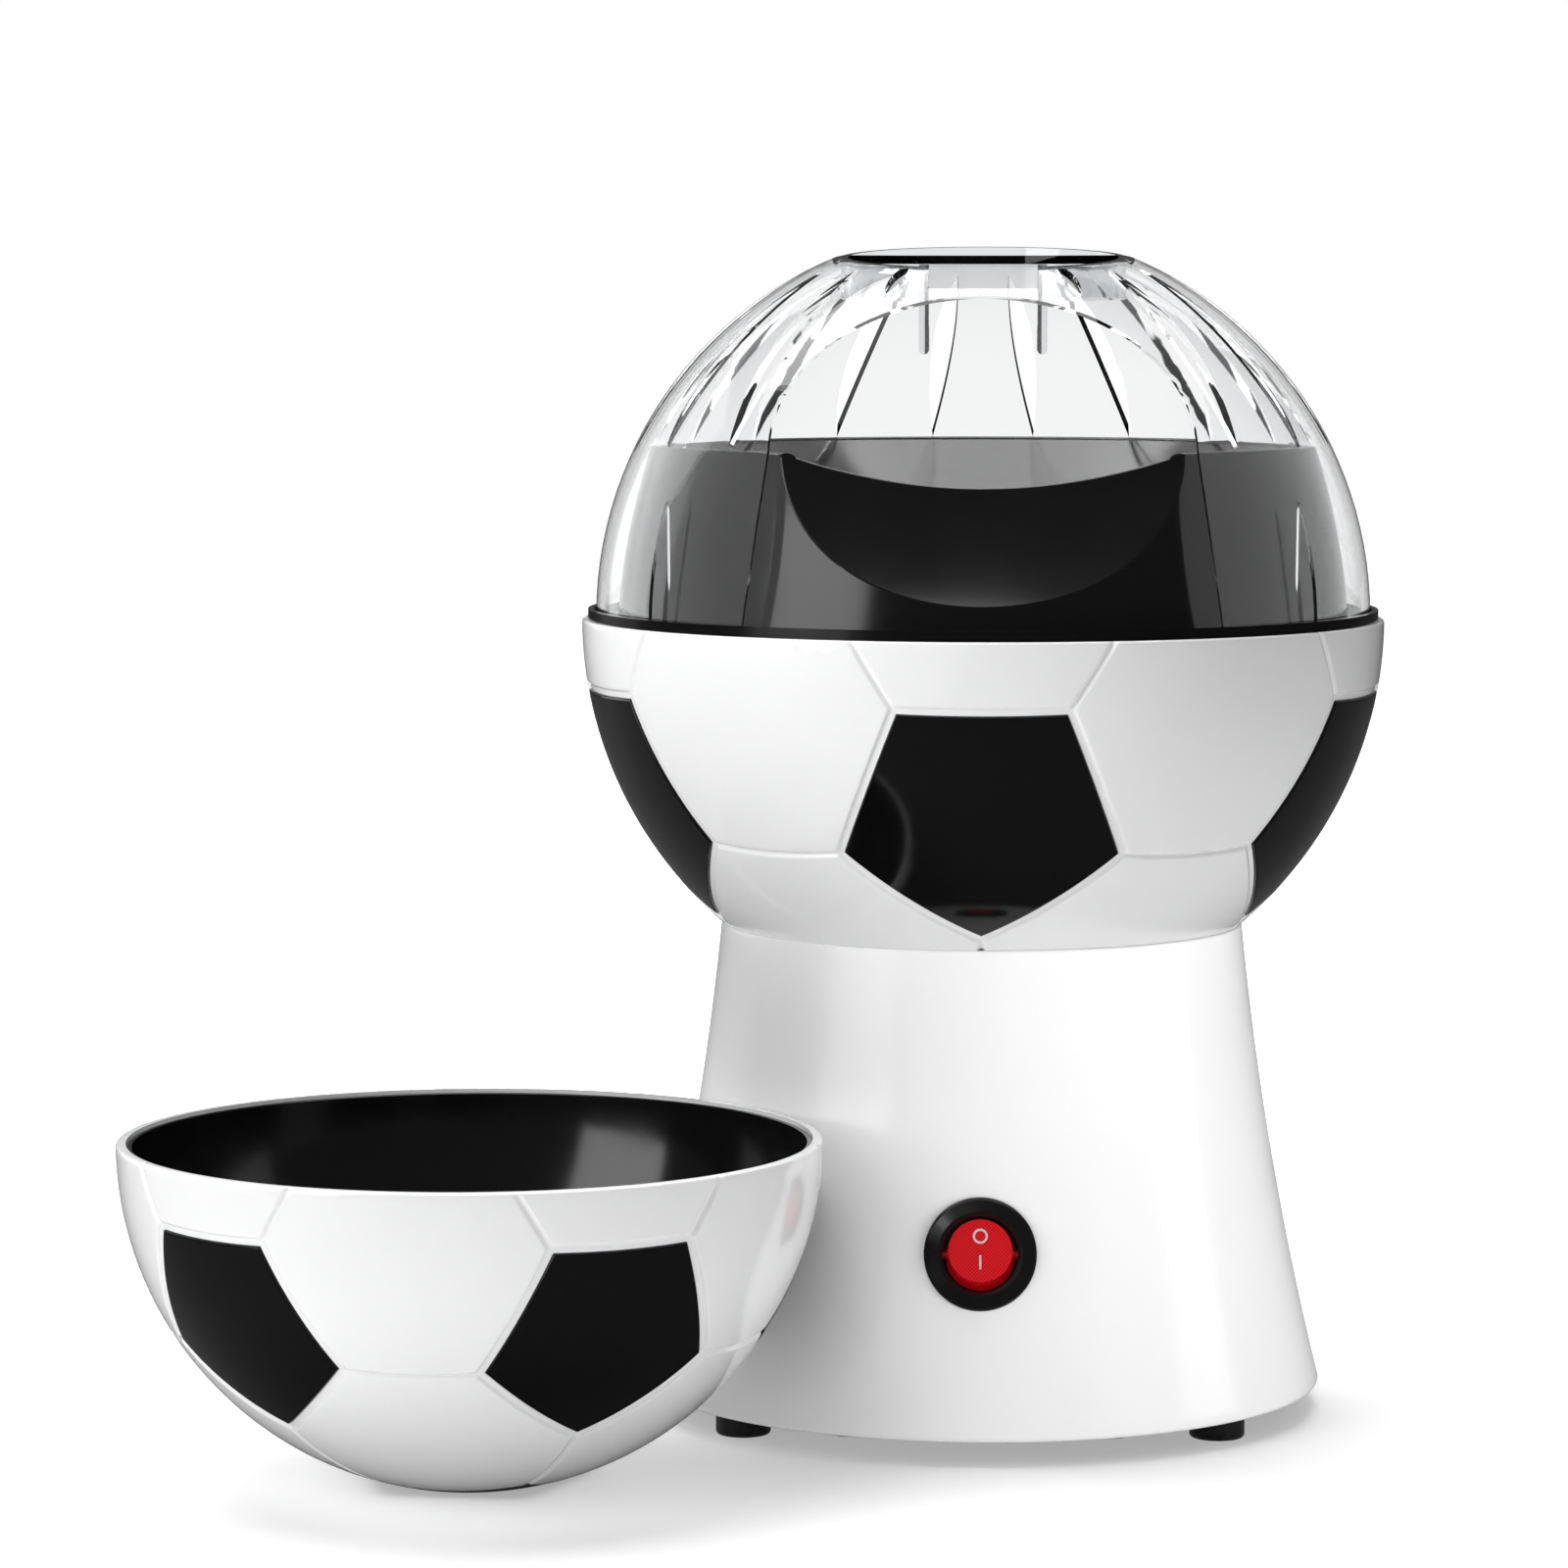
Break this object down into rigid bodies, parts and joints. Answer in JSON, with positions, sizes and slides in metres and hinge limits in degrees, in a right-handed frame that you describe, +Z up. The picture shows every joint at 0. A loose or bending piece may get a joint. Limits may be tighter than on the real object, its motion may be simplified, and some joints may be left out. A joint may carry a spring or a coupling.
{
  "type": "popcorn maker",
  "caption": "Hot-air popcorn maker shaped like a football on a flared stand, with clear dome, front chute, round rocker switch and matching half-ball bowl.",
  "frame": {"origin": "on the machine's vertical axis, at the surface that its feet stand on", "axes": "+Z up, the front with the switch and chute faces -Y, +X to the right seen from the front"},
  "size_m": [0.303, 0.2815, 0.2905],
  "materials": {
    "white_shell": "high gloss moulded white",
    "panel_black": "high gloss black",
    "collector_black": "high gloss black",
    "clear_dome": "clear polished plastic",
    "bowl_black": "gloss black",
    "switch_black": "satin black nylon",
    "rocker_red": "translucent red with a fine prism grid inside",
    "mark_white": "printed",
    "foot_rubber": "matte",
    "plate_black": "fine texture",
    "screw_steel": "zinc plated",
    "motor_steel": "plated can",
    "magnet": "sintered ferrite",
    "bush_brass": "sintered",
    "motor_plastic": "natural nylon",
    "core_steel": "laminated, varnished",
    "shaft_steel": "ground",
    "fan_plastic": "moulded",
    "housing_plastic": "moulded",
    "duct_steel": "rolled sheet",
    "coil_wire": "oxidised resistance wire",
    "mica": "layered mica",
    "chamber_aluminium": "spun aluminium",
    "deck_black": "heat resistant moulding",
    "board_green": "glass fibre laminate",
    "board_part": "moulded",
    "terminal_brass": "tin plated",
    "gland_rubber": "moulded",
    "stat_steel": "pressed"
  },
  "bodies": {
    "stand": {"base_shell": "white_shell", "base_plate": "plate_black", "base_screws": "screw_steel", "cord_gland": "gland_rubber", "motor_can": "motor_steel", "motor_end_bell": "motor_plastic", "motor_magnets": "magnet", "bearing_lower": "bush_brass", "bearing_upper": "bush_brass", "motor_mount": "housing_plastic", "motor_screws": "screw_steel", "fan_housing": "housing_plastic", "mount_screws": "screw_steel", "heater_duct": "duct_steel", "duct_screws": "screw_steel", "heater_coil": "coil_wire", "mica_card_a": "mica", "mica_card_b": "mica", "thermostat": "stat_steel", "thermal_fuse": "stat_steel", "rectifier_board": "board_green", "board_parts": "board_part", "chamber_sleeve": "duct_steel", "popping_chamber": "chamber_aluminium", "chamber_deck": "deck_black", "ball_shell": "white_shell", "ball_screws": "screw_steel", "deck_screws": "screw_steel", "switch_housing": "switch_black", "switch_terminals": "terminal_brass", "foot_front_right": "foot_rubber", "foot_front_left": "foot_rubber", "foot_rear_left": "foot_rubber", "foot_rear_right": "foot_rubber", "ball_panel_front": "panel_black", "ball_panel_front_right": "panel_black", "ball_panel_rear_right": "panel_black", "ball_panel_rear_left": "panel_black", "ball_panel_front_left": "panel_black"},
    "fan": {"armature": "core_steel", "motor_shaft": "shaft_steel", "fan_impeller": "fan_plastic"},
    "collector": {"collector": "collector_black"},
    "dome": {"dome": "clear_dome"},
    "rocker": {"rocker": "rocker_red", "rocker_marks": "mark_white"},
    "bowl": {"bowl_shell": "white_shell", "bowl_liner": "bowl_black", "bowl_foot_panel": "panel_black", "bowl_panel_a": "panel_black", "bowl_panel_b": "panel_black", "bowl_panel_c": "panel_black", "bowl_panel_d": "panel_black", "bowl_panel_e": "panel_black"}
  },
  "joints": [
    {"name": "fan_spin", "type": "hinge", "parent": "stand", "child": "fan", "pos_m": [0, 0, 0.06], "axis": [0, 0, 1], "continuous": true},
    {"name": "rocker_press", "type": "hinge", "parent": "stand", "child": "rocker", "pos_m": [0, -0.07271, 0.04943], "axis": [1, 0, 0], "range_deg": [0, 20]},
    {"name": "collector_lift", "type": "slide", "parent": "stand", "child": "collector", "axis": [0, 0, 1], "range_m": [0, 0.1]},
    {"name": "dome_lift", "type": "slide", "parent": "collector", "child": "dome", "axis": [0, 0, 1], "range_m": [0, 0.12]},
    {"name": "bowl_slide", "type": "slide", "parent": "stand", "child": "bowl", "axis": [-0.773, -0.6345, 0], "range_m": [0, 0.2]}
  ]
}
